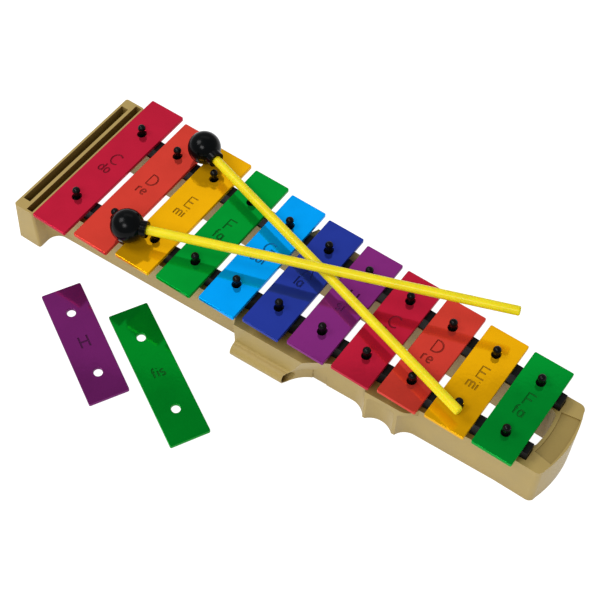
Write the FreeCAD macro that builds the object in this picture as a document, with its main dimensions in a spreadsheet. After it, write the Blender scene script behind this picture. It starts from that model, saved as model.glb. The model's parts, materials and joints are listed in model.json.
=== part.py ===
import FreeCAD, Part
import math
import os
import re

import Sketcher

# A diatonic metal-bar glockenspiel: one moulded frame on two tapering rails, a rubber strip
# and a row of ball-headed pins on each rail, eleven tone bars, two spare bars, two mallets.
# Origin: middle of the underside of the wide end's foot, on the frame's plane of symmetry.
# +X runs along the instrument to the short bars, +Z is up, the player sits on the -Y side.

DIMENSIONS = {
    # tone bars
    "barWidth": 25, "barThick": 2.5, "barPitch": 29.24, "barFirstX": 26.6,
    "barLowest": 114.1, "barTop": 42, "barCorner": 0.9, "barEdge": 0.4,
    "holeWidth": 5.4, "holeLength": 6.2, "nodeRatio": 0.224, "barDrift": 0.4,
    # spare bars, lying beside the frame
    "spareHighLength": 84.8, "spareHighX": 78.2, "spareHighY": -91.6, "spareHighTurn": 60.8,
    "spareSharpLength": 98.8, "spareSharpX": 126.9, "spareSharpY": -82.3, "spareSharpTurn": 61.0,
    # pin line: half spacing at x = 0 and how much it closes in per millimetre
    "pinHalf": 32.05, "railSlope": 0.0402,
    "pinStem": 3.4, "pinBall": 4.9, "pinBallZ": 46.8, "pinFootZ": 30,
    # rubber strips
    "stripWidth": 7.6, "stripStart": 13.5, "stripEnd": 334.8,
    # frame rails, hollow from below
    "railStart": 8, "railHeight": 28.5, "railOut": 6.9, "railIn": 4.3,
    "wallThick": 2, "webThick": 2.5, "channelStart": 17, "channelEnd": 330,
    # foot at the wide end, with its two storage slots
    "footHeight": 33.5, "footHalf": 53.6, "footBack": 8.5, "footBackTop": 5.7, "footFront": 8.9,
    "slotOneNear": -4.2, "slotOneWide": 5.2, "slotOneHalf": 46.8,
    "slotTwoNear": 3.2, "slotTwoWide": 4.4, "slotTwoHalf": 52.2, "slotDepth": 28,
    "gussetRadius": 8, "footRound": 1.6,
    # block at the narrow end, with the grip hole and a blank label panel
    "endHeight": 33, "endStart": 321, "endHalf": 26, "endCorner": 346.6, "endMiddle": 350.2,
    "endRound": 4, "notchWidth": 8, "notchEnd": 335.1,
    "gripHoleEnd": 335.9, "gripHoleBow": 0.7, "gripHoleHalf": 13.6, "gripHoleRound": 4.5,
    "labelNear": 337.9, "labelFar": 348.8, "labelBow": 1.5, "labelHalf": 15, "labelHalfFar": 16.8,
    "labelDepth": 0.9,
    "cavityNear": 338.5, "cavityFar": 346.4, "cavityHalf": 22, "cavityHeight": 30,
    # mallet holders on both rails
    "holderStart": 152.8, "holderEnd": 224, "holderOut": 17.1, "flankOut": 16.6, "fairing": 1.5,
    "tubeAxisOut": 17.4, "tubeRadius": 4.95,
    "mouthTube": 189.9, "mouthMiddle": 193.5, "mouthWall": 201.8, "mouthKnee": 8.5,
    "leanTube": 7.3, "leanMiddle": 11.9, "leanWall": 16.2,
    "boreRadius": 3.1, "boreStart": 159, "mouthRadius": 4.2, "mouthStart": 183,
    "reliefDepth": 0.35, "reliefStart": 201.6, "reliefEnd": 211.2, "reliefTop": 9.6,
    "sweepLow": 145, "sweepHigh": 136, "sweepOut": 16.2,
    # finger grip on the near rail
    "gripStart": 229, "gripMiddle": 235.4, "gripFull": 240, "gripFade": 262, "gripEnd": 271,
    "ridgeOut": 6.4, "scoopTop": 25, "scoopRound": 3.9,
    # mallets
    "stickRadius": 2.85, "stickStart": 6, "malletLength": 232, "tailRound": 1.2, "headRadius": 10.2,
    "collarRadius": 5.1, "collarEnd": 12.5,
    "malletOneX": 71.4, "malletOneY": 37.3, "malletOneZ": 53.2,
    "malletOneTurn": -16.38, "malletOneTilt": 0.48,
    "malletTwoX": 71.9, "malletTwoY": -36.8, "malletTwoZ": 53.2,
    "malletTwoTurn": 19.31, "malletTwoTilt": -2.42,
}

# bar name and how many semitones it lies above the lowest bar
TONES = [
    ("bar_01_c", 0), ("bar_02_d", 2), ("bar_03_e", 4), ("bar_04_f", 5), ("bar_05_g", 7),
    ("bar_06_a", 9), ("bar_07_h", 11), ("bar_08_c", 12), ("bar_09_d", 14), ("bar_10_e", 16),
    ("bar_11_f", 17),
]

# finger scoops: middle along the rail, radius, how far the scoop's floor stands off the wall
SCOOPS = [(250.8, 12.2, 2.6), (271, 10.2, 0)]

SIDES = {"near": -1, "far": 1}

# ends of the drawn arcs, in drawing order, for joining outlines
ARC_ENDS = {}

doc = FreeCAD.newDocument("Glockenspiel")
sheet = doc.addObject("Spreadsheet::Sheet", "Dims")


def fill_sheet():
    """Put every driving dimension in the sheet as a plain number with an alias."""
    for row, (alias, number) in enumerate(DIMENSIONS.items(), start=1):
        sheet.set(f"A{row}", alias)
        sheet.set(f"B{row}", str(number))
        sheet.setAlias(f"B{row}", alias)
    doc.recompute()


def bound(text):
    """Turn bare aliases in an expression into references to the sheet."""
    return re.sub(r"[A-Za-z_]\w*", lambda m: "Dims." + m[0] if m[0] in DIMENSIONS else m[0], str(text))


def value(text):
    """The present number of an expression."""
    return float(sheet.evalExpression(bound(text)))


def new_body(label):
    body = doc.addObject("PartDesign::Body", label)
    body.Label = label
    return body


def origin_plane(body, role):
    return next(f for f in body.Origin.OriginFeatures if f.Role == role)


def new_sketch(body, name, role="XY_Plane", height="0", turn="0"):
    """A sketch on one of the body's origin planes, lifted along the plane's normal."""
    sketch = body.newObject("Sketcher::SketchObject", name)
    sketch.AttachmentSupport = [(origin_plane(body, role), "")]
    sketch.MapMode = "FlatFace"
    sketch.setExpression("AttachmentOffset.Base.z", bound(height))
    sketch.setExpression("AttachmentOffset.Rotation.Yaw", bound(turn))
    return sketch


def hold(sketch, geometry, point, across, up):
    """Fix one point of the sketch by two expressions."""
    for kind, text in (("DistanceX", across), ("DistanceY", up)):
        index = sketch.addConstraint(Sketcher.Constraint(kind, -1, 1, geometry, point, value(text)))
        sketch.setExpression(f"Constraints[{index}]", bound(text))


def outline(sketch, steps):
    """Draw a closed outline. A step is (x, y) for a corner reached by a straight line,
    or (middle x, middle y, x, y) for a corner reached by an arc through the middle point."""
    corners = [step[-2:] for step in steps]
    first = sketch.GeometryCount
    for index, step in enumerate(steps):
        start = FreeCAD.Vector(value(corners[index - 1][0]), value(corners[index - 1][1]), 0)
        end = FreeCAD.Vector(value(step[-2]), value(step[-1]), 0)
        if len(step) == 2:
            sketch.addGeometry(Part.LineSegment(start, end), False)
            continue
        middle = FreeCAD.Vector(value(step[0]), value(step[1]), 0)
        arc = Part.Arc(start, middle, end)
        turned = (middle - start).cross(end - middle).z < 0
        sketch.addGeometry(arc, False)
        ARC_ENDS[(sketch.Name, first + index)] = (2, 1) if turned else (1, 2)
    tie_outline(sketch, steps, first)


def tie_outline(sketch, steps, first):
    """Join the outline's ends and bind its corners and arc middles to the sheet."""
    count = len(steps)
    for index, step in enumerate(steps):
        here = first + index
        after = first + (index + 1) % count
        end = ARC_ENDS.get((sketch.Name, here), (1, 2))[1]
        start = ARC_ENDS.get((sketch.Name, after), (1, 2))[0]
        sketch.addConstraint(Sketcher.Constraint("Coincident", here, end, after, start))
        hold(sketch, here, end, step[-2], step[-1])
    for index, step in enumerate(steps):
        if len(step) == 4:
            point = sketch.addGeometry(Part.Point(FreeCAD.Vector(value(step[0]), value(step[1]), 0)), True)
            sketch.addConstraint(Sketcher.Constraint("PointOnObject", point, 1, first + index))
            hold(sketch, point, 1, step[0], step[1])


def circle(sketch, across, up, radius):
    centre = FreeCAD.Vector(value(across), value(up), 0)
    index = sketch.addGeometry(Part.Circle(centre, FreeCAD.Vector(0, 0, 1), value(radius)), False)
    hold(sketch, index, 3, across, up)
    ring = sketch.addConstraint(Sketcher.Constraint("Radius", index, value(radius)))
    sketch.setExpression(f"Constraints[{ring}]", bound(radius))


def pad(body, sketch, length, both_ways=False, reverse=False):
    feature = body.newObject("PartDesign::Pad", sketch.Name + "Pad")
    feature.Profile = sketch
    feature.setExpression("Length", bound(length))
    feature.Midplane = both_ways
    feature.Reversed = reverse
    doc.recompute()
    return feature


def pocket(body, sketch, length, reverse=False):
    """Cut, and make sure that something was cut."""
    before = body.Shape.Volume
    feature = body.newObject("PartDesign::Pocket", sketch.Name + "Pocket")
    feature.Profile = sketch
    feature.setExpression("Length", bound(length))
    feature.Reversed = reverse
    doc.recompute()
    if not body.Shape.Volume < before - 0.01:
        raise RuntimeError(f"{feature.Name} cut nothing")
    return feature


def pin_line(along):
    """Distance of the pin line from the plane of symmetry."""
    return f"(pinHalf - railSlope * ({along}))"


def lean(reach, level):
    """How far the holder mouth has moved along the rail at a height above its upright part."""
    return f"{reach} * (({level}) - mouthKnee) / (railHeight - mouthKnee)"


def add_foot(body):
    sketch = new_sketch(body, "FootSection", "XZ_Plane")
    outline(sketch, [
        ("-footBack", "0"), ("footFront", "0"), ("footFront", "footHeight"), ("-footBackTop", "footHeight"),
    ])
    block = pad(body, sketch, "2 * footHalf", both_ways=True)
    upright = [f"Edge{number}" for number, edge in enumerate(block.Shape.Edges, start=1)
               if edge.BoundBox.ZLength > value("footHeight") - 1]
    rounding = body.newObject("PartDesign::Fillet", "FootCorners")
    rounding.Base = (block, upright)
    rounding.setExpression("Radius", bound("footRound"))
    doc.recompute()


def rail_band(sign, start, end, inner, outer):
    """Outline of a band that follows the pin line between two offsets from it."""
    return [
        (start, f"{sign} * ({pin_line(start)} + {inner})"),
        (end, f"{sign} * ({pin_line(end)} + {inner})"),
        (end, f"{sign} * ({pin_line(end)} + {outer})"),
        (start, f"{sign} * ({pin_line(start)} + {outer})"),
    ]


def add_rails(body):
    sketch = new_sketch(body, "RailOutline")
    for sign in SIDES.values():
        outline(sketch, rail_band(sign, "railStart", "endStart + 2", "(-railIn)", "railOut"))
    pad(body, sketch, "railHeight")


def add_gussets(body):
    """Round the inner corners between the foot and the rails."""
    sketch = new_sketch(body, "GussetOutline")
    tip = "(footFront + gussetRadius)"
    face = f"({pin_line(tip)} + railOut)"
    for sign in SIDES.values():
        outline(sketch, [
            ("railStart", f"{sign} * ({face} + gussetRadius)"),
            ("footFront", f"{sign} * ({face} + gussetRadius)"),
            (f"{tip} - gussetRadius * cos(45)", f"{sign} * ({face} + gussetRadius * (1 - sin(45)))",
             tip, f"{sign} * {face}"),
            (tip, f"{sign} * ({face} - wallThick)"),
            ("railStart", f"{sign} * ({face} - wallThick)"),
        ])
    pad(body, sketch, "footHeight")


def add_end_block(body):
    sketch = new_sketch(body, "EndOutline")
    inset = "endRound * (1 - cos(45))"
    outline(sketch, [
        ("endStart", "-endHalf"),
        ("endCorner - endRound", "-endHalf"),
        (f"endCorner - {inset}", f"-endHalf + {inset}", "endCorner", "endRound - endHalf"),
        ("endMiddle", "0", "endCorner", "endHalf - endRound"),
        (f"endCorner - {inset}", f"endHalf - {inset}", "endCorner - endRound", "endHalf"),
        ("endStart", "endHalf"),
    ])
    pad(body, sketch, "endHeight")


def cut_grip_hole(body):
    """Open the end block between the rails, as a hole to carry the instrument by."""
    sketch = new_sketch(body, "GripHoleOutline", height="endHeight")
    inset = "gripHoleRound * (1 - cos(45))"
    far = "(gripHoleEnd - gripHoleBow)"
    outline(sketch, [
        ("endStart - 2", "-gripHoleHalf"),
        (f"{far} - gripHoleRound", "-gripHoleHalf"),
        (f"{far} - {inset}", f"-gripHoleHalf + {inset}", far, "gripHoleRound - gripHoleHalf"),
        ("gripHoleEnd", "0", far, "gripHoleHalf - gripHoleRound"),
        (f"{far} - {inset}", f"gripHoleHalf - {inset}", f"{far} - gripHoleRound", "gripHoleHalf"),
        ("endStart - 2", "gripHoleHalf"),
    ])
    pocket(body, sketch, "endHeight + 1")


def cut_end_notches(body):
    """Let the strip ends into the end block."""
    sketch = new_sketch(body, "NotchOutline", height="endHeight")
    for sign in SIDES.values():
        outline(sketch, rail_band(sign, "endStart - 2", "notchEnd", "(-notchWidth / 2)", "notchWidth / 2"))
    pocket(body, sketch, "endHeight - railHeight")


def cut_label(body):
    """A shallow blank panel on the end block."""
    sketch = new_sketch(body, "LabelOutline", height="endHeight")
    outline(sketch, [
        ("labelNear - labelBow", "labelHalf"),
        ("labelNear", "0", "labelNear - labelBow", "-labelHalf"),
        ("labelFar - labelBow", "-labelHalfFar"),
        ("labelFar", "0", "labelFar - labelBow", "labelHalfFar"),
    ])
    pocket(body, sketch, "labelDepth")


def across_sketch(body, name, sign, start):
    """A sketch square across the pin line, crossing it at a distance along the frame."""
    sketch = new_sketch(body, name, "YZ_Plane", height=f"({start}) - railSlope * {pin_line(start)}")
    sketch.setExpression("AttachmentOffset.Rotation.Pitch", bound(f"{-sign} * atan(railSlope)"))
    return sketch


def across(sign, start, out):
    """Where a point at a distance outside the pin line lies in such a sketch."""
    return f"{sign} * ({pin_line(start)} / cos(atan(railSlope)) + ({out}) * cos(atan(railSlope)))"


def add_holders(body):
    """A ledge beside each rail with a tube along its foot, joined by a small fairing."""
    side_step = "(flankOut + fairing - tubeAxisOut)"
    rise = f"sqrt(pow(tubeRadius + fairing; 2) - pow({side_step}; 2))"
    share = "tubeRadius / (tubeRadius + fairing)"
    top = f"(tubeRadius + {rise})"
    for side, sign in SIDES.items():
        def out(distance):
            return across(sign, "holderStart", distance)

        sketch = across_sketch(body, f"HolderSection_{side}", sign, "holderStart")
        outline(sketch, [
            (out("railOut - wallThick"), "0"),
            (out("railOut - wallThick"), "railHeight"),
            (out("holderOut"), "railHeight"),
            (out("flankOut"), top),
            (out("flankOut + fairing * (1 - cos(42))"), f"{top} - fairing * sin(42)",
             out(f"tubeAxisOut + {side_step} * {share}"), f"tubeRadius + {rise} * {share}"),
            (out("tubeAxisOut + tubeRadius * cos(42)"), "tubeRadius * (1 + sin(42))",
             out("tubeAxisOut + tubeRadius"), "tubeRadius"),
            (out("tubeAxisOut + tubeRadius * cos(45)"), "tubeRadius * (1 - sin(45))",
             out("tubeAxisOut"), "0"),
        ])
        pad(body, sketch, "holderEnd - holderStart")


def sweep_outline(body, name, sign, height, reach, reach_out):
    """The hollow fairing between a rail and the blind end of its holder, at one height."""
    sketch = new_sketch(body, name, height=height)
    corner = "(holderStart + railSlope * holderOut)"
    outline(sketch, [
        (reach, f"{sign} * ({pin_line(reach)} + railOut - 1)"),
        (reach, f"{sign} * ({pin_line(reach)} + railOut)"),
        (f"({reach}) + 0.72 * ({corner} - ({reach}))",
         f"{sign} * ({pin_line(corner)} + railOut + 0.3 * ({reach_out} - railOut))",
         corner, f"{sign} * ({pin_line(corner)} + {reach_out})"),
        (corner, f"{sign} * ({pin_line(corner)} + railOut - 1)"),
    ])
    return sketch


def add_sweeps(body):
    for side, sign in SIDES.items():
        low = sweep_outline(body, f"SweepLow_{side}", sign, "0", "sweepLow", "sweepOut")
        high = sweep_outline(body, f"SweepHigh_{side}", sign, "railHeight", "sweepHigh", "holderOut")
        doc.recompute()
        loft = body.newObject("PartDesign::AdditiveLoft", f"Sweep_{side}")
        loft.Profile = low
        loft.Sections = [high]
        loft.Ruled = True
        doc.recompute()


def flare_outline(body, name, sign, height, level):
    """Everything in front of the holder's flared mouth, at one height."""
    sketch = new_sketch(body, name, height=height)
    tube = f"(mouthTube + {lean('leanTube', level)})"
    middle = f"(mouthMiddle + {lean('leanMiddle', level)})"
    wall = f"(mouthWall + {lean('leanWall', level)})"
    far = "(holderEnd + 8)"
    outline(sketch, [
        (tube, f"{sign} * (holderOut + 40)"),
        (tube, f"{sign} * ({pin_line(tube)} + 20)"),
        (middle, f"{sign} * ({pin_line(middle)} + 13.5)", wall, f"{sign} * ({pin_line(wall)} + railOut)"),
        (far, f"{sign} * ({pin_line(far)} + railOut)"),
        (far, f"{sign} * (holderOut + 40)"),
    ])
    return sketch


def cut_flares(body):
    """Trim the holders to a concave mouth, upright below and leaning above."""
    for side, sign in SIDES.items():
        before = body.Shape.Volume
        low = flare_outline(body, f"FlareLow_{side}", sign, "-3", "mouthKnee")
        knee = flare_outline(body, f"FlareKnee_{side}", sign, "mouthKnee", "mouthKnee")
        high = flare_outline(body, f"FlareHigh_{side}", sign, "railHeight + 3", "railHeight + 3")
        doc.recompute()
        loft = body.newObject("PartDesign::SubtractiveLoft", f"Flare_{side}")
        loft.Profile = low
        loft.Sections = [knee, high]
        loft.Ruled = True
        doc.recompute()
        if not body.Shape.Volume < before - 100:
            raise RuntimeError(f"{loft.Name} cut nothing")


def cut_bores(body):
    """A bore for the tail of a mallet, wider at its mouth."""
    for side, sign in SIDES.items():
        for name, start, radius in (("Bore", "boreStart", "boreRadius"), ("Mouth", "mouthStart", "mouthRadius")):
            sketch = across_sketch(body, f"{name}_{side}", sign, start)
            circle(sketch, across(sign, start, "tubeAxisOut"), "tubeRadius", radius)
            pocket(body, sketch, f"holderEnd - {start} + 8", reverse=True)


def cut_reliefs(body):
    """A shallow step in each rail's wall in front of the holder's mouth."""
    sketch = new_sketch(body, "ReliefOutline")
    for sign in SIDES.values():
        outline(sketch, rail_band(sign, "reliefStart", "reliefEnd", "(railOut - reliefDepth)", "(railOut + 1)"))
    pocket(body, sketch, "reliefTop", reverse=True)


def add_finger_grip(body):
    """A raised pad on the near wall, swelling out of it in a hollow curve."""
    sketch = new_sketch(body, "FingerGripOutline")
    wall = {x: f"{pin_line(x)} + railOut" for x in ("gripStart", "gripMiddle", "gripFull", "gripFade", "gripEnd")}
    outline(sketch, [
        ("gripStart", f"-({wall['gripStart']}) + wallThick"),
        ("gripStart", f"-({wall['gripStart']})"),
        ("gripMiddle", f"-({wall['gripMiddle']} + 0.27 * ridgeOut)",
         "gripFull", f"-({wall['gripFull']} + ridgeOut)"),
        ("gripFade", f"-({wall['gripFade']} + ridgeOut)"),
        ("gripFade + 6", f"-({wall['gripFade']} + 0.63 * ridgeOut)", "gripEnd", f"-({wall['gripEnd']})"),
        ("gripEnd", f"-({wall['gripEnd']}) + wallThick"),
    ])
    pad(body, sketch, "railHeight")


def cut_scoops(body):
    """Hollow the finger grip with two round-topped scoops, leaving two ridges."""
    for number, (along, radius, floor) in enumerate(SCOOPS, start=1):
        before = body.Shape.Volume
        reach = f"({pin_line(along)} + railOut + {floor + radius})"
        sketch = new_sketch(body, f"Scoop_{number}", "XZ_Plane", height=reach)
        sketch.setExpression("AttachmentOffset.Base.x", str(along))
        outline(sketch, [
            ("0", "-1"),
            (radius, "-1"),
            (radius, "scoopTop - scoopRound"),
            (f"{radius} - scoopRound * (1 - cos(45))", "scoopTop - scoopRound * (1 - sin(45))",
             f"{radius} - scoopRound", "scoopTop"),
            ("0", "scoopTop"),
        ])
        doc.recompute()
        groove = body.newObject("PartDesign::Groove", f"ScoopCut_{number}")
        groove.Profile = sketch
        groove.ReferenceAxis = (sketch, ["V_Axis"])
        groove.Angle = 360
        doc.recompute()
        if not body.Shape.Volume < before - 100:
            raise RuntimeError(f"{groove.Name} cut nothing")


def cut_underside(body):
    """Hollow the rails and the end block from below."""
    channels = new_sketch(body, "ChannelOutline")
    for sign in SIDES.values():
        outline(channels, rail_band(sign, "channelStart", "channelEnd", "(wallThick - railIn)",
                                    "(railOut - wallThick)"))
    pocket(body, channels, "railHeight - webThick", reverse=True)
    cavity = new_sketch(body, "CavityOutline")
    outline(cavity, [
        ("cavityNear", "-cavityHalf"),
        ("cavityFar - labelBow", "-cavityHalf"),
        ("cavityFar", "0", "cavityFar - labelBow", "cavityHalf"),
        ("cavityNear", "cavityHalf"),
    ])
    pocket(body, cavity, "cavityHeight", reverse=True)


def cut_slots(body):
    """Two upright slots in the foot that take the spare bars."""
    sketch = new_sketch(body, "SlotOutline", height="footHeight")
    for name in ("slotOne", "slotTwo"):
        outline(sketch, [
            (f"{name}Near", f"-{name}Half"),
            (f"{name}Near + {name}Wide", f"-{name}Half"),
            (f"{name}Near + {name}Wide", f"{name}Half"),
            (f"{name}Near", f"{name}Half"),
        ])
    pocket(body, sketch, "slotDepth")


def build_frame():
    body = new_body("frame_body")
    add_foot(body)
    add_rails(body)
    add_gussets(body)
    add_end_block(body)
    add_holders(body)
    add_sweeps(body)
    cut_flares(body)
    cut_reliefs(body)
    add_finger_grip(body)
    cut_scoops(body)
    cut_grip_hole(body)
    cut_bores(body)
    cut_underside(body)
    cut_end_notches(body)
    cut_label(body)
    cut_slots(body)
    return body


def bar_place(number):
    """Where along the frame a tone bar's middle lies."""
    return f"(barFirstX + barPitch * {number})"


def build_strip(side, sign):
    """A rubber strip with a blind hole for every pin."""
    body = new_body(f"strip_{side}")
    sketch = new_sketch(body, f"StripOutline_{side}", height="railHeight")
    outline(sketch, rail_band(sign, "stripStart", "stripEnd", "(-stripWidth / 2)", "stripWidth / 2"))
    pad(body, sketch, "barTop - barThick - railHeight")
    holes = new_sketch(body, f"PinHoles_{side}", height="barTop - barThick")
    for number in range(len(TONES)):
        place = bar_place(number)
        circle(holes, place, f"{sign} * {pin_line(place)}", "pinStem / 2")
    pocket(body, holes, "barTop - barThick - pinFootZ")
    return body


def build_pins(side, sign):
    """Eleven ball-headed pins in one row."""
    body = new_body(f"pins_{side}")
    body.AllowCompound = True
    turn = f"{-sign} * atan(railSlope)"
    sketch = new_sketch(body, f"PinSection_{side}", "XZ_Plane")
    sketch.setExpression("AttachmentOffset.Base.x", bound("barFirstX"))
    sketch.setExpression("AttachmentOffset.Base.z", bound(f"{-sign} * {pin_line('barFirstX')}"))
    sketch.setExpression("AttachmentOffset.Rotation.Pitch", bound(turn))
    ball = "pinBall / 2"
    seat = f"pinBallZ - sqrt(({ball}) ^ 2 - (pinStem / 2) ^ 2)"
    outline(sketch, [
        ("0", "pinFootZ"),
        ("pinStem / 2", "pinFootZ"),
        ("pinStem / 2", seat),
        (ball, "pinBallZ", "0", f"pinBallZ + {ball}"),
    ])
    doc.recompute()
    pin = body.newObject("PartDesign::Revolution", f"Pin_{side}")
    pin.Profile = sketch
    pin.ReferenceAxis = (sketch, ["V_Axis"])
    pin.Angle = 360
    doc.recompute()
    row = body.newObject("PartDesign::LinearPattern", f"PinRow_{side}")
    row.Originals = [pin]
    row.Direction = (sketch, ["H_Axis"])
    row.setExpression("Length", bound(f"barPitch * {len(TONES) - 1} / cos(atan(railSlope))"))
    row.Occurrences = len(TONES)
    body.Tip = row
    doc.recompute()
    return body


def oval(sketch, across, along):
    """An upright oval hole."""
    side = "holeWidth / 2"
    straight = "(holeLength - holeWidth) / 2"
    outline(sketch, [
        (f"{across} - {side}", f"{along} - {straight}"),
        (across, f"{along} - holeLength / 2", f"{across} + {side}", f"{along} - {straight}"),
        (f"{across} + {side}", f"{along} + {straight}"),
        (across, f"{along} + holeLength / 2", f"{across} - {side}", f"{along} + {straight}"),
    ])


def rim_edges(shape, level, half_width, half_length):
    """Names of the outer edges of a bar's face at one height."""
    names = []
    for number, edge in enumerate(shape.Edges, start=1):
        box = edge.BoundBox
        flat = abs(box.ZMin - level) < 0.001 and abs(box.ZMax - level) < 0.001
        middle = edge.CenterOfMass
        near_rim = abs(middle.x) > half_width - 1.5 or abs(middle.y) > half_length - 1.5
        if flat and near_rim:
            names.append(f"Edge{number}")
    return names


def build_bar(label, length, hole_offset):
    """A flat bar across the frame, drawn about its own middle, with two oval holes."""
    body = new_body(label)
    sketch = new_sketch(body, f"{label}_outline")
    side = "barWidth / 2"
    end = f"({length}) / 2"
    inset = "barCorner * (1 - cos(45))"
    outline(sketch, [
        (f"-{side}", f"barCorner - {end}"),
        (f"{inset} - {side}", f"{inset} - {end}", f"barCorner - {side}", f"-{end}"),
        (f"{side} - barCorner", f"-{end}"),
        (f"{side} - {inset}", f"{inset} - {end}", side, f"barCorner - {end}"),
        (side, f"{end} - barCorner"),
        (f"{side} - {inset}", f"{end} - {inset}", f"{side} - barCorner", end),
        (f"barCorner - {side}", end),
        (f"{inset} - {side}", f"{end} - {inset}", f"-{side}", f"{end} - barCorner"),
    ])
    oval(sketch, "0", f"-({hole_offset})")
    oval(sketch, "0", f"({hole_offset})")
    block = pad(body, sketch, "barThick")
    half_width = value(side)
    half_length = value(end)
    rims = rim_edges(block.Shape, 0, half_width, half_length)
    rims += rim_edges(block.Shape, value("barThick"), half_width, half_length)
    rounding = body.newObject("PartDesign::Fillet", f"{label}_edges")
    rounding.Base = (block, rims)
    rounding.setExpression("Radius", bound("barEdge"))
    doc.recompute()
    return body


def build_tone_bar(number, label, semitones):
    """A bar resting on the strips, a little off centre along the row as loose bars come to lie."""
    place = bar_place(number)
    body = build_bar(label, f"barLowest * 2 ^ (-{semitones} / 24)", pin_line(place))
    body.setExpression("Placement.Base.x", bound(place))
    body.setExpression("Placement.Base.y", bound(f"barDrift * {number - 5} / 5"))
    body.setExpression("Placement.Base.z", bound("barTop - barThick"))
    return body


def build_spare_bar(label, kind):
    """A spare bar lying flat beside the instrument."""
    length = f"{kind}Length"
    body = build_bar(label, length, f"{length} * (0.5 - nodeRatio)")
    body.setExpression("Placement.Base.x", bound(f"{kind}X"))
    body.setExpression("Placement.Base.y", bound(f"{kind}Y"))
    body.setExpression("Placement.Rotation.Yaw", bound(f"{kind}Turn"))
    return body


def place_mallet(body, kind):
    """Mallet parts are drawn along +X from the middle of the head."""
    for axis in "XYZ":
        body.setExpression(f"Placement.Base.{axis.lower()}", bound(f"{kind}{axis}"))
    body.setExpression("Placement.Rotation.Yaw", bound(f"{kind}Turn"))
    body.setExpression("Placement.Rotation.Pitch", bound(f"{kind}Tilt"))


def turned(body, sketch):
    """Turn a section about the mallet's own axis."""
    doc.recompute()
    feature = body.newObject("PartDesign::Revolution", sketch.Name + "Turned")
    feature.Profile = sketch
    feature.ReferenceAxis = (sketch, ["H_Axis"])
    feature.Angle = 360
    doc.recompute()


def build_head(label, kind):
    """A ball with a short collar and a blind socket for the stick."""
    body = new_body(label)
    sketch = new_sketch(body, f"{label}_section", "XZ_Plane")
    foot = "sqrt(headRadius ^ 2 - collarRadius ^ 2)"
    outline(sketch, [
        ("-headRadius", "0"),
        ("0", "headRadius", foot, "collarRadius"),
        ("collarEnd", "collarRadius"),
        ("collarEnd", "stickRadius"),
        ("stickStart", "stickRadius"),
        ("stickStart", "0"),
    ])
    turned(body, sketch)
    place_mallet(body, kind)
    return body


def build_stick(label, kind):
    """A round stick with a rounded tail."""
    body = new_body(label)
    sketch = new_sketch(body, f"{label}_section", "XZ_Plane")
    inset = "tailRound * (1 - cos(45))"
    outline(sketch, [
        ("stickStart", "0"),
        ("stickStart", "stickRadius"),
        ("malletLength - tailRound", "stickRadius"),
        (f"malletLength - {inset}", f"stickRadius - {inset}", "malletLength", "stickRadius - tailRound"),
        ("malletLength", "0"),
    ])
    turned(body, sketch)
    place_mallet(body, kind)
    return body


def build_all():
    """Every separate piece of the instrument."""
    pieces = [build_frame()]
    for side, sign in SIDES.items():
        pieces.append(build_strip(side, sign))
        pieces.append(build_pins(side, sign))
    for number, (label, semitones) in enumerate(TONES):
        pieces.append(build_tone_bar(number, label, semitones))
    pieces.append(build_spare_bar("spare_bar_h", "spareHigh"))
    pieces.append(build_spare_bar("spare_bar_fis", "spareSharp"))
    for word, kind in (("one", "malletOne"), ("two", "malletTwo")):
        pieces.append(build_head(f"mallet_{word}_head", kind))
        pieces.append(build_stick(f"mallet_{word}_stick", kind))
    return pieces


def check_and_export(pieces):
    doc.recompute()
    for item in doc.Objects:
        if "Invalid" in item.State or "Error" in item.State:
            raise RuntimeError(f"{item.Name}: {item.State}")
    os.makedirs("parts", exist_ok=True)
    for piece in pieces:
        if piece.Shape.isNull() or not piece.Shape.isValid():
            raise RuntimeError(f"{piece.Label} has a bad shape")
        piece.Shape.exportStep(f"parts/{piece.Label}.step")
        box = piece.Shape.BoundBox
        print(f"{piece.Label}: {len(piece.Shape.Solids)} solid(s), {piece.Shape.Volume:.0f} mm3, "
              f"{box.XLength:.1f} x {box.YLength:.1f} x {box.ZLength:.1f} mm")


fill_sheet()
check_and_export(build_all())
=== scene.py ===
import json
import math

import bmesh
import bpy
from mathutils import Euler, Matrix, Vector


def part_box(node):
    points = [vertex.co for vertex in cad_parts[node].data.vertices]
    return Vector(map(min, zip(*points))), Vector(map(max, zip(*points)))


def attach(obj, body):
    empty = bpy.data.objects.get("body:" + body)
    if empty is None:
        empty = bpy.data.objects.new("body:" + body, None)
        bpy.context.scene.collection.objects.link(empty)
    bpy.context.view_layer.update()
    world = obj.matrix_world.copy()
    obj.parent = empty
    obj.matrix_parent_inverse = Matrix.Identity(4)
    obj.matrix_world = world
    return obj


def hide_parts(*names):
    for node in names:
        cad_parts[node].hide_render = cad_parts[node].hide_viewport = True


# A toy glockenspiel: lacquered metal bars on a moulded plastic frame, with rubber pins and
# strips, two spare bars and two mallets. Everything is in metres, in the CAD model's frame.

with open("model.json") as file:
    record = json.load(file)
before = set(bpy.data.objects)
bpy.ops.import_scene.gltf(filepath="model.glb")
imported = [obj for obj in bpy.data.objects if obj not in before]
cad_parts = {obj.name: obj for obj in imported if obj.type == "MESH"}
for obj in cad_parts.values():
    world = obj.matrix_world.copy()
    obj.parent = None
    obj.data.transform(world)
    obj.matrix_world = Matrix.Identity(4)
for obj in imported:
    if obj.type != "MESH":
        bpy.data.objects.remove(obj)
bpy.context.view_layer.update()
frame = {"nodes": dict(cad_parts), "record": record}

MM = 0.001

# the camera, standing on the player's side towards the narrow end
CAMERA_PLACE = Vector((0.413184, -0.362560, 0.655964))
CAMERA_TURN = Euler((math.radians(34.3332), math.radians(-1.0453), math.radians(35.3487)))
CAMERA_LENS = 77.782

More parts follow.
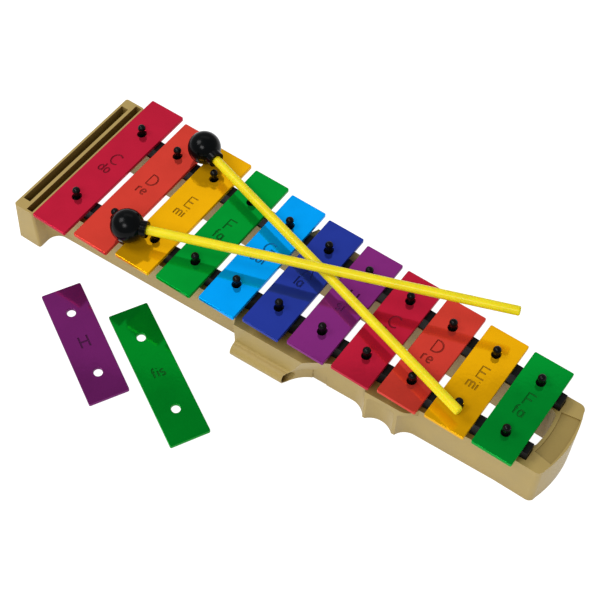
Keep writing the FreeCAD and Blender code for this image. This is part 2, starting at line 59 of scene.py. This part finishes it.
# pin line, as the CAD has it: half spacing at x = 0 and how much it closes in per metre
PIN_HALF = 0.03205
RAIL_SLOPE = 0.0402

# the tone bars: width, oval holes, rounded rims and corners, and how far in from its end a
# spare bar has its holes, as a share of its length
BAR_WIDTH = 25 * MM
HOLE_WIDTH = 5.4 * MM
HOLE_LENGTH = 6.2 * MM
BAR_EDGE = 0.3 * MM
BAR_CORNER = 0.95 * MM
NODE_RATIO = 0.224

# engraved lettering: heights, the engraver's radius and how far its axis stands above the
# face, and where the two lines stand on a bar
CAPITAL_HEIGHT = 8.2 * MM
SMALL_HEIGHT = 6.4 * MM
STROKE_RADIUS = 0.6 * MM
STROKE_RISE = 0.14 * MM
CAPITAL_PLACE = Vector((0.5, 5.4)) * MM
SMALL_PLACE = Vector((-0.8, -3.6)) * MM

# the letters on each bar: the note's name and its syllable
LETTERS = {
    "bar_01_c": ("C", "do"), "bar_02_d": ("D", "re"), "bar_03_e": ("E", "mi"), "bar_04_f": ("F", "fa"),
    "bar_05_g": ("G", "sol"), "bar_06_a": ("A", "la"), "bar_07_h": ("H", "si"), "bar_08_c": ("C", "do"),
    "bar_09_d": ("D", "re"), "bar_10_e": ("E", "mi"), "bar_11_f": ("F", "fa"),
    "spare_bar_h": ("H", ""), "spare_bar_fis": ("", "fis"),
}

# where the spare bars lie: turn about the vertical, in degrees
SPARE_TURNS = {"spare_bar_h": 60.8, "spare_bar_fis": 61.0}

# the label panel in the narrow end's block, whose floor is painted in shade: its floor's height, how
# closely a face has to lie to it, and from where along the frame to look
LABEL_LEVEL = 32.1 * MM
LABEL_SLACK = 0.1 * MM
LABEL_START = 330 * MM

# rounding of the edges of the frame and strips, and of the pins and mallets
LARGE_EDGE = 0.3 * MM
SMALL_EDGE = 0.2 * MM
EDGE_SEGMENTS = 2

# angles in degrees: an edge is rounded past the first and drawn sharp past the next two, on a
# carried-over part and on a bar; faces closer than the last are one flat face
ROUNDED_ANGLE = 32
PART_SHARP = 30
BAR_SHARP = 35
FLAT_ANGLE = 0.6

# points nearer than this are one point
WELD_REACH = 0.002 * MM

# depth of the fine surface grain
GRAIN_DEPTH = 0.2 * MM

# painted shade on the frame's plastic, darker in its corners, hollows and under other pieces: within what
# reach, and to what share
CORNER_SHADE_REACH = 0.03
CORNER_SHADE_TINT = (0.4, 0.32, 0.14)

# painted shade in a stroke of the engraving: how dark its colour is, as a share of its own
STROKE_SHADE_SHARE = 0.42


def line(*points):
    return [Vector(p) for p in points]


def arc(centre, radii, start, end, steps=14):
    """Points along an elliptical arc, angles in degrees."""
    turns = [math.radians(start + (end - start) * i / steps) for i in range(steps + 1)]
    return [
        Vector((centre[0] + radii[0] * math.cos(turn), centre[1] + radii[1] * math.sin(turn)))
        for turn in turns
    ]


# single-stroke letters: width, then strokes, in units of the letter's full height
GLYPHS = {
    "A": (0.76, [line((0, 0), (0.38, 1), (0.76, 0)), line((0.14, 0.34), (0.62, 0.34))]),
    "C": (0.74, [arc((0.44, 0.5), (0.42, 0.5), 48, 312)]),
    "D": (0.70, [line((0.24, 0), (0.02, 0), (0.02, 1), (0.24, 1)), arc((0.24, 0.5), (0.44, 0.5), 90, -90)]),
    "E": (0.62, [line((0.6, 0), (0.02, 0), (0.02, 1), (0.6, 1)), line((0.02, 0.52), (0.5, 0.52))]),
    "F": (0.60, [line((0.02, 0), (0.02, 1), (0.6, 1)), line((0.02, 0.52), (0.48, 0.52))]),
    "G": (0.78, [arc((0.44, 0.5), (0.42, 0.5), 48, 330), line((0.52, 0.46), (0.82, 0.46), (0.82, 0.26))]),
    "H": (0.66, [line((0.02, 0), (0.02, 1)), line((0.64, 0), (0.64, 1)), line((0.02, 0.5), (0.64, 0.5))]),
    "a": (0.50, [arc((0.24, 0.33), (0.22, 0.33), 0, 360), line((0.47, 0.66), (0.47, 0))]),
    "d": (0.50, [arc((0.24, 0.33), (0.22, 0.33), 0, 360), line((0.47, 1), (0.47, 0))]),
    "e": (0.50, [line((0.04, 0.34), (0.46, 0.34)), arc((0.25, 0.33), (0.22, 0.33), 4, 318)]),
    "f": (0.34, [arc((0.34, 0.84), (0.2, 0.16), 90, 180) + line((0.14, 0)), line((0, 0.64), (0.32, 0.64))]),
    "i": (0.14, [line((0.07, 0), (0.07, 0.64)), line((0.07, 0.88), (0.07, 0.94))]),
    "l": (0.14, [line((0.07, 0), (0.07, 1))]),
    "m": (0.74, [line((0.03, 0), (0.03, 0.66)),
                 arc((0.2, 0.48), (0.17, 0.18), 180, 0) + line((0.37, 0)),
                 arc((0.54, 0.48), (0.17, 0.18), 180, 0) + line((0.71, 0))]),
    "o": (0.50, [arc((0.25, 0.33), (0.22, 0.33), 0, 360)]),
    "r": (0.34, [line((0.03, 0), (0.03, 0.66)), arc((0.26, 0.42), (0.23, 0.24), 180, 70)]),
    "s": (0.42, [arc((0.21, 0.49), (0.17, 0.17), 40, 265) + arc((0.21, 0.165), (0.18, 0.165), 85, -145)]),
}
LETTER_GAP = 0.16


def put(obj, body, replaced=()):
    """Let a finished piece ride on its CAD body."""
    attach(obj, body)
    if replaced:
        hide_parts(*replaced)
    return obj


def body_of_node(node):
    bodies = frame["record"]["behaviour"]["bodies"]
    return next(name for name, nodes in bodies.items() if node in nodes)


def slot_of_node(node):
    return next(s["material_slot"] for s in frame["record"]["subparts"] if s["node"] == node)


def new_object(name, data):
    obj = bpy.data.objects.new(name, data)
    bpy.context.scene.collection.objects.link(obj)
    return obj


def baked(obj):
    """The object's mesh with its modifiers applied; the object itself is removed."""
    bpy.context.view_layer.update()
    graph = bpy.context.evaluated_depsgraph_get()
    mesh = bpy.data.meshes.new_from_object(obj.evaluated_get(graph), depsgraph=graph)
    name = obj.name
    old = obj.data
    matrix = obj.matrix_world.copy()
    bpy.data.objects.remove(obj)
    if isinstance(old, bpy.types.Mesh):
        bpy.data.meshes.remove(old)
    result = new_object(name, mesh)
    result.matrix_world = matrix
    return result


# ---------------------------------------------------------------- materials

def shader_nodes(name):
    material = bpy.data.materials.new(name)
    material.use_nodes = True
    tree = material.node_tree
    return material, tree, tree.nodes["Principled BSDF"]


def mapped_noise(tree, scale, detail, stretch=(1, 1, 1)):
    """Noise in object space, so that it stays on the piece."""
    coords = tree.nodes.new("ShaderNodeTexCoord")
    mapping = tree.nodes.new("ShaderNodeMapping")
    mapping.inputs["Scale"].default_value = stretch
    noise = tree.nodes.new("ShaderNodeTexNoise")
    noise.inputs["Scale"].default_value = scale
    noise.inputs["Detail"].default_value = detail
    tree.links.new(coords.outputs["Object"], mapping.inputs["Vector"])
    tree.links.new(mapping.outputs["Vector"], noise.inputs["Vector"])
    return noise.outputs["Fac"]


def mixed_colour(tree, factor, low, high, target, start=0.35, end=0.65):
    """Drive a colour input from one colour to another by a factor."""
    ramp = tree.nodes.new("ShaderNodeValToRGB")
    ramp.color_ramp.elements[0].position = start
    ramp.color_ramp.elements[1].position = end
    ramp.color_ramp.elements[0].color = (*low, 1)
    ramp.color_ramp.elements[1].color = (*high, 1)
    tree.links.new(factor, ramp.inputs["Fac"])
    tree.links.new(ramp.outputs["Color"], target)


def ranged(tree, factor, low, high, target):
    """Drive a number input between two values by a noise factor."""
    span = tree.nodes.new("ShaderNodeMapRange")
    span.inputs["From Min"].default_value = 0.3
    span.inputs["From Max"].default_value = 0.7
    span.inputs["To Min"].default_value = low
    span.inputs["To Max"].default_value = high
    tree.links.new(factor, span.inputs["Value"])
    tree.links.new(span.outputs["Result"], target)


def bump(tree, factor, strength, target):
    node = tree.nodes.new("ShaderNodeBump")
    node.inputs["Strength"].default_value = strength
    node.inputs["Distance"].default_value = GRAIN_DEPTH
    tree.links.new(factor, node.inputs["Height"])
    tree.links.new(node.outputs["Normal"], target)


def linear(red, green, blue):
    """Colour from 0 to 255 in sRGB, as linear values."""
    values = (c / 255 for c in (red, green, blue))
    return tuple(c / 12.92 if c <= 0.04045 else ((c + 0.055) / 1.055) ** 2.4 for c in values)


def shade(colour, factor):
    return tuple(c * factor for c in colour)


def corner_shaded(tree, target):
    """Paint shade into a colour input: darker in corners, hollows and under other pieces, where less light
    reaches; returns where the colour goes in.
    """
    opening = tree.nodes.new("ShaderNodeAmbientOcclusion")
    opening.samples = 8
    opening.inputs["Distance"].default_value = CORNER_SHADE_REACH
    blend = tree.nodes.new("ShaderNodeMix")
    blend.data_type = "RGBA"
    blend.blend_type = "MULTIPLY"
    blend.inputs["Factor"].default_value = 1
    mixed_colour(tree, opening.outputs["AO"], CORNER_SHADE_TINT, (1, 1, 1), blend.inputs["B"], 0.12, 0.6)
    tree.links.new(blend.outputs["Result"], target)
    return blend.inputs["A"]


def moulded_plastic(name, tone):
    material, tree, bsdf = shader_nodes(name)
    bsdf.inputs["Specular IOR Level"].default_value = 0.3
    beige = linear(*tone)
    cloud = mapped_noise(tree, 55, 3)
    # painted shade: the plastic's colour goes darker in corners and under other pieces
    colour = corner_shaded(tree, bsdf.inputs["Base Color"])
    mixed_colour(tree, cloud, shade(beige, 0.95), shade(beige, 1.03), colour)
    grain = mapped_noise(tree, 2600, 2)
    ranged(tree, cloud, 0.40, 0.50, bsdf.inputs["Roughness"])
    bump(tree, grain, 0.18, bsdf.inputs["Normal"])
    return material


def lacquer(name, rgb):
    """Coloured clear lacquer on bright sheet metal, with a trace of orange peel."""
    material, tree, bsdf = shader_nodes(name)
    colour = linear(*rgb)
    cloud = mapped_noise(tree, 70, 2)
    mixed_colour(tree, cloud, shade(colour, 0.96), shade(colour, 1.03), bsdf.inputs["Base Color"])
    bsdf.inputs["Metallic"].default_value = 0.5
    bsdf.inputs["Specular IOR Level"].default_value = 0
    ranged(tree, cloud, 0.07, 0.1, bsdf.inputs["Roughness"])
    peel = mapped_noise(tree, 420, 2)
    bump(tree, peel, 0.04, bsdf.inputs["Normal"])
    return material


def stroke_shade(name, rgb):
    """Painted shade in a stroke of the engraving: the bar's colour, darker, and dull."""
    material, tree, bsdf = shader_nodes(f"{name}_engraved")
    colour = shade(linear(*rgb), STROKE_SHADE_SHARE)
    cloud = mapped_noise(tree, 300, 2)
    mixed_colour(tree, cloud, shade(colour, 0.9), shade(colour, 1.1), bsdf.inputs["Base Color"])
    bsdf.inputs["Roughness"].default_value = 0.6
    bsdf.inputs["Specular IOR Level"].default_value = 0.1
    return material


def black_rubber(name, grey, roughness, grain_scale):
    material, tree, bsdf = shader_nodes(name)
    bsdf.inputs["Specular IOR Level"].default_value = 0.16
    tone = linear(grey, grey, grey + 1)
    cloud = mapped_noise(tree, 260, 4)
    mixed_colour(tree, cloud, shade(tone, 0.75), shade(tone, 1.3), bsdf.inputs["Base Color"])
    ranged(tree, cloud, roughness - 0.06, roughness + 0.08, bsdf.inputs["Roughness"])
    grain = mapped_noise(tree, grain_scale, 3)
    bump(tree, grain, 0.2, bsdf.inputs["Normal"])
    return material


def polished_black():
    material, tree, bsdf = shader_nodes("polished_black")
    bsdf.inputs["Specular IOR Level"].default_value = 0.1
    tone = linear(4, 6, 7)
    wisps = mapped_noise(tree, 90, 5)
    mixed_colour(tree, wisps, shade(tone, 0.8), shade(tone, 1.3), bsdf.inputs["Base Color"])
    ranged(tree, wisps, 0.14, 0.24, bsdf.inputs["Roughness"])
    peel = mapped_noise(tree, 500, 2)
    bump(tree, peel, 0.06, bsdf.inputs["Normal"])
    return material


def yellow_plastic():
    """Drawn plastic rod: faint lines run along the stick."""
    material, tree, bsdf = shader_nodes("yellow_plastic")
    bsdf.inputs["Specular IOR Level"].default_value = 0.2
    yellow = linear(238, 219, 26)
    cloud = mapped_noise(tree, 120, 3)
    mixed_colour(tree, cloud, shade(yellow, 0.93), shade(yellow, 1.02), bsdf.inputs["Base Color"])
    ranged(tree, cloud, 0.24, 0.34, bsdf.inputs["Roughness"])
    bsdf.inputs["Subsurface Weight"].default_value = 0.15
    bsdf.inputs["Subsurface Scale"].default_value = 0.002
    lines = mapped_noise(tree, 900, 2, stretch=(0.05, 1, 1))
    bump(tree, lines, 0.12, bsdf.inputs["Normal"])
    return material


# bar_purple_spare and bar_green_spare are darker copies of the purple and green lacquer: painted shade on
# the spare bars
BAR_COLOURS = {
    "bar_crimson": (184, 30, 56), "bar_red_orange": (206, 62, 50), "bar_yellow": (235, 172, 10),
    "bar_green": (4, 146, 48), "bar_light_blue": (4, 158, 244), "bar_dark_blue": (38, 56, 150),
    "bar_purple": (128, 42, 120), "bar_purple_spare": (107, 33, 98), "bar_green_spare": (3, 134, 37),
}


def make_materials():
    made = {name: lacquer(name, rgb) for name, rgb in BAR_COLOURS.items()}
    # darker copies of every lacquer, painted shade for the engraved strokes
    made.update({f"{name}_engraved": stroke_shade(name, rgb) for name, rgb in BAR_COLOURS.items()})
    made["frame_plastic"] = moulded_plastic("moulded_plastic", (173, 149, 87))
    # painted shade for the label panel's recessed floor: the frame's plastic, darker
    made["frame_label"] = moulded_plastic("label_panel_shade", (156, 133, 74))
    made["rubber_black"] = black_rubber("rubber_black", 6, 0.55, 1500)
    made["pin_black"] = black_rubber("pin_black", 6, 0.30, 900)
    made["head_black"] = polished_black()
    made["stick_yellow"] = yellow_plastic()
    return made


MATERIALS = make_materials()


# ---------------------------------------------------------------- tone bars

def rounded_rectangle(width, length, radius):
    corners = []
    for sx, sy, start in ((1, -1, -90), (1, 1, 0), (-1, 1, 90), (-1, -1, 180)):
        centre = (sx * (width / 2 - radius), sy * (length / 2 - radius))
        corners += arc(centre, (radius, radius), start, start + 90, steps=5)
    return corners


def oval_hole(centre, width, length):
    straight = (length - width) / 2
    radius = width / 2
    return (arc((0, centre + straight), (radius, radius), 0, 180, steps=16)
            + arc((0, centre - straight), (radius, radius), 180, 360, steps=16))


def flat_curve(name, outlines, thickness, edge):
    """A plate from closed outlines, its rims rounded."""
    curve = bpy.data.curves.new(name, "CURVE")
    curve.dimensions = "2D"
    curve.fill_mode = "BOTH"
    for points in outlines:
        spline = curve.splines.new("POLY")
        spline.points.add(len(points) - 1)
        for place, point in zip(spline.points, points):
            place.co = (point[0], point[1], 0, 1)
        spline.use_cyclic_u = True
    curve.extrude = thickness / 2 - edge
    curve.bevel_depth = edge
    curve.bevel_resolution = 3
    curve.offset = -edge
    return baked(new_object(name, curve))


def weld(mesh):
    work = bmesh.new()
    work.from_mesh(mesh)
    bmesh.ops.remove_doubles(work, verts=work.verts, dist=WELD_REACH)
    bmesh.ops.recalc_face_normals(work, faces=work.faces)
    work.to_mesh(mesh)
    work.free()


def text_strokes(text, height):
    """Every stroke of a word, centred on its middle."""
    widths = [GLYPHS[letter][0] for letter in text]
    total = sum(widths) + LETTER_GAP * (len(text) - 1)
    strokes = []
    left = -total / 2
    for letter, width in zip(text, widths):
        for stroke in GLYPHS[letter][1]:
            strokes.append([(p + Vector((left, -0.5))) * height for p in stroke])
        left += width + LETTER_GAP
    return strokes


def stroke_cutter(strokes, level):
    """Thin rounded rods along the strokes, to be cut out of a bar's face."""
    curve = bpy.data.curves.new("engraver", "CURVE")
    curve.dimensions = "3D"
    curve.bevel_depth = STROKE_RADIUS
    curve.bevel_resolution = 3
    curve.use_fill_caps = True
    for points in strokes:
        closed = (points[0] - points[-1]).length < 1e-6
        used = points[:-1] if closed else points
        spline = curve.splines.new("POLY")
        spline.points.add(len(used) - 1)
        for place, point in zip(spline.points, used):
            place.co = (point[0], point[1], level, 1)
        spline.use_cyclic_u = closed
    cutter = baked(new_object("engraver", curve))
    weld(cutter.data)
    return cutter


def engrave(bar, capital, small, top):
    """Cut the note's name and its syllable into the bar's face; a lone word stands in the middle."""
    strokes = []
    rows = ((capital, CAPITAL_HEIGHT, CAPITAL_PLACE), (small, SMALL_HEIGHT, SMALL_PLACE))
    for text, height, place in rows:
        if text:
            middle = place if capital and small else Vector((0, 0))
            strokes += [[p + middle for p in stroke] for stroke in text_strokes(text, height)]
    cutter = stroke_cutter(strokes, top + STROKE_RISE)
    # the cutter's faces take the bar's second material, the painted shade of the strokes
    for material in bar.data.materials:
        cutter.data.materials.append(material)
    cutter.data.polygons.foreach_set("material_index", [1] * len(cutter.data.polygons))
    cut = bar.modifiers.new("engraving", "BOOLEAN")
    cut.operation = "DIFFERENCE"
    cut.solver = "EXACT"
    cut.use_self = True
    cut.object = cutter
    result = baked(bar)
    bpy.data.objects.remove(cutter)
    return result


def even_normals(piece, sharp):
    """Let the large flat faces rule the shading, so that they reflect as true planes."""
    piece.data.shade_smooth()
    piece.data.set_sharp_from_angle(angle=math.radians(sharp))
    weigh = piece.modifiers.new("weigh", "WEIGHTED_NORMAL")
    weigh.mode = "FACE_AREA"
    weigh.weight = 100
    weigh.keep_sharp = True
    return baked(piece)


def make_bar(node):
    low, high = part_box(node)
    thickness = high.z - low.z
    middle = (low + high) / 2
    if node in SPARE_TURNS:
        turn = math.radians(SPARE_TURNS[node])
        spread = high.y - low.y
        length = (spread - BAR_WIDTH * abs(math.sin(turn))) / abs(math.cos(turn))
        hole = length * (0.5 - NODE_RATIO)
    else:
        turn = 0
        length = high.y - low.y
        hole = PIN_HALF - RAIL_SLOPE * middle.x
    outlines = [
        rounded_rectangle(BAR_WIDTH, length, BAR_CORNER),
        oval_hole(hole, HOLE_WIDTH, HOLE_LENGTH),
        oval_hole(-hole, HOLE_WIDTH, HOLE_LENGTH),
    ]
    bar = flat_curve(f"{node}_plate", outlines, thickness, BAR_EDGE)
    weld(bar.data)
    slot = slot_of_node(node)
    # a spare bar takes the darker copy of its lacquer, painted shade
    paint = f"{slot}_spare" if node in SPARE_TURNS else slot
    # the bar's lacquer, then its darker copy painted as shade in the strokes
    for material in (MATERIALS[paint], MATERIALS[f"{paint}_engraved"]):
        bar.data.materials.append(material)
    capital, small = LETTERS[node]
    bar = engrave(bar, capital, small, thickness / 2)
    bar = even_normals(bar, BAR_SHARP)
    bar.data.transform(Matrix.Translation(middle) @ Matrix.Rotation(turn, 4, "Z"))
    return put(bar, body_of_node(node), [node])


# ---------------------------------------------------------------- frame and carried-over parts

def shade_label_floor(piece):
    """Paint the floor of the blank label panel in shade: a slightly darker copy of the frame's plastic."""
    piece.data.materials.append(MATERIALS["frame_label"])
    for face in piece.data.polygons:
        on_floor = abs(LABEL_LEVEL - face.center.z) < LABEL_SLACK and face.normal.z > 0.9
        if on_floor and face.center.x > LABEL_START:
            face.material_index = 1


def soften(node, width, name=None):
    """A copy of a CAD node with its sharp edges rounded."""
    mesh = frame["nodes"][node].data.copy()
    piece = new_object(name or f"{node}_soft", mesh)
    weld(mesh)
    work = bmesh.new()
    work.from_mesh(mesh)
    flat = math.radians(FLAT_ANGLE)
    bmesh.ops.dissolve_limit(work, angle_limit=flat, verts=work.verts, edges=work.edges)
    work.to_mesh(mesh)
    work.free()
    rounding = piece.modifiers.new("edges", "BEVEL")
    rounding.width = width
    rounding.segments = EDGE_SEGMENTS
    rounding.limit_method = "ANGLE"
    rounding.angle_limit = math.radians(ROUNDED_ANGLE)
    piece = even_normals(baked(piece), PART_SHARP)
    slot = slot_of_node(node)
    piece.data.materials.clear()
    piece.data.materials.append(MATERIALS[slot])
    if node == "frame_body":
        shade_label_floor(piece)
    return put(piece, body_of_node(node), [node])


# ---------------------------------------------------------------- stage, light, camera

def stage_material():
    """A lit white table, as used for cut-out product pictures."""
    material, tree, bsdf = shader_nodes("stage_white")
    bsdf.inputs["Base Color"].default_value = (0.25, 0.25, 0.25, 1)
    bsdf.inputs["Roughness"].default_value = 1
    bsdf.inputs["Specular IOR Level"].default_value = 0
    bsdf.inputs["Emission Color"].default_value = (1, 1, 1, 1)
    bsdf.inputs["Emission Strength"].default_value = 0.98
    return material


def make_stage():
    mesh = bpy.data.meshes.new("stage_floor")
    work = bmesh.new()
    bmesh.ops.create_grid(work, x_segments=1, y_segments=1, size=4)
    work.to_mesh(mesh)
    work.free()
    floor = new_object("stage_floor", mesh)
    floor.location = (0.17, 0, -0.0002)
    mesh.materials.append(stage_material())


def softbox(name, place, target, size, power):
    light = bpy.data.lights.new(name, "AREA")
    light.shape = "RECTANGLE"
    light.size, light.size_y = size
    light.energy = power
    lamp = new_object(name, light)
    lamp.location = place
    lamp.rotation_euler = (Vector(target) - Vector(place)).to_track_quat("-Z", "Y").to_euler()


def make_light():
    world = bpy.data.worlds.new("studio")
    bpy.context.scene.world = world
    world.use_nodes = True
    background = world.node_tree.nodes["Background"]
    background.inputs["Color"].default_value = (1, 1, 1, 1)
    background.inputs["Strength"].default_value = 0.36
    softbox("key", (0.3, -0.85, 1.1), (0.15, 0, 0), (0.5, 0.4), 7)
    softbox("top", (-0.5, -0.35, 1.1), (0.1, 0, 0), (0.5, 0.5), 6.5)
    softbox("sheen", (-0.33, 0.85, 1.27), (0.17, 0, 0), (1.35, 0.5), 1.4)
    bpy.context.scene.view_settings.view_transform = "Standard"


def make_camera():
    data = bpy.data.cameras.new("camera")
    data.lens = CAMERA_LENS
    data.sensor_width = 36
    camera = new_object("camera", data)
    camera.location = CAMERA_PLACE
    camera.rotation_euler = CAMERA_TURN
    bpy.context.scene.camera = camera


for bar_node in LETTERS:
    make_bar(bar_node)
soften("frame_body", LARGE_EDGE, "frame_moulding")
for strip_node in ("strip_near", "strip_far"):
    soften(strip_node, LARGE_EDGE)
for plain_node in ("pins_near", "pins_far", "mallet_one_head", "mallet_two_head",
                   "mallet_one_stick", "mallet_two_stick"):
    soften(plain_node, SMALL_EDGE)

make_stage()
make_light()
make_camera()
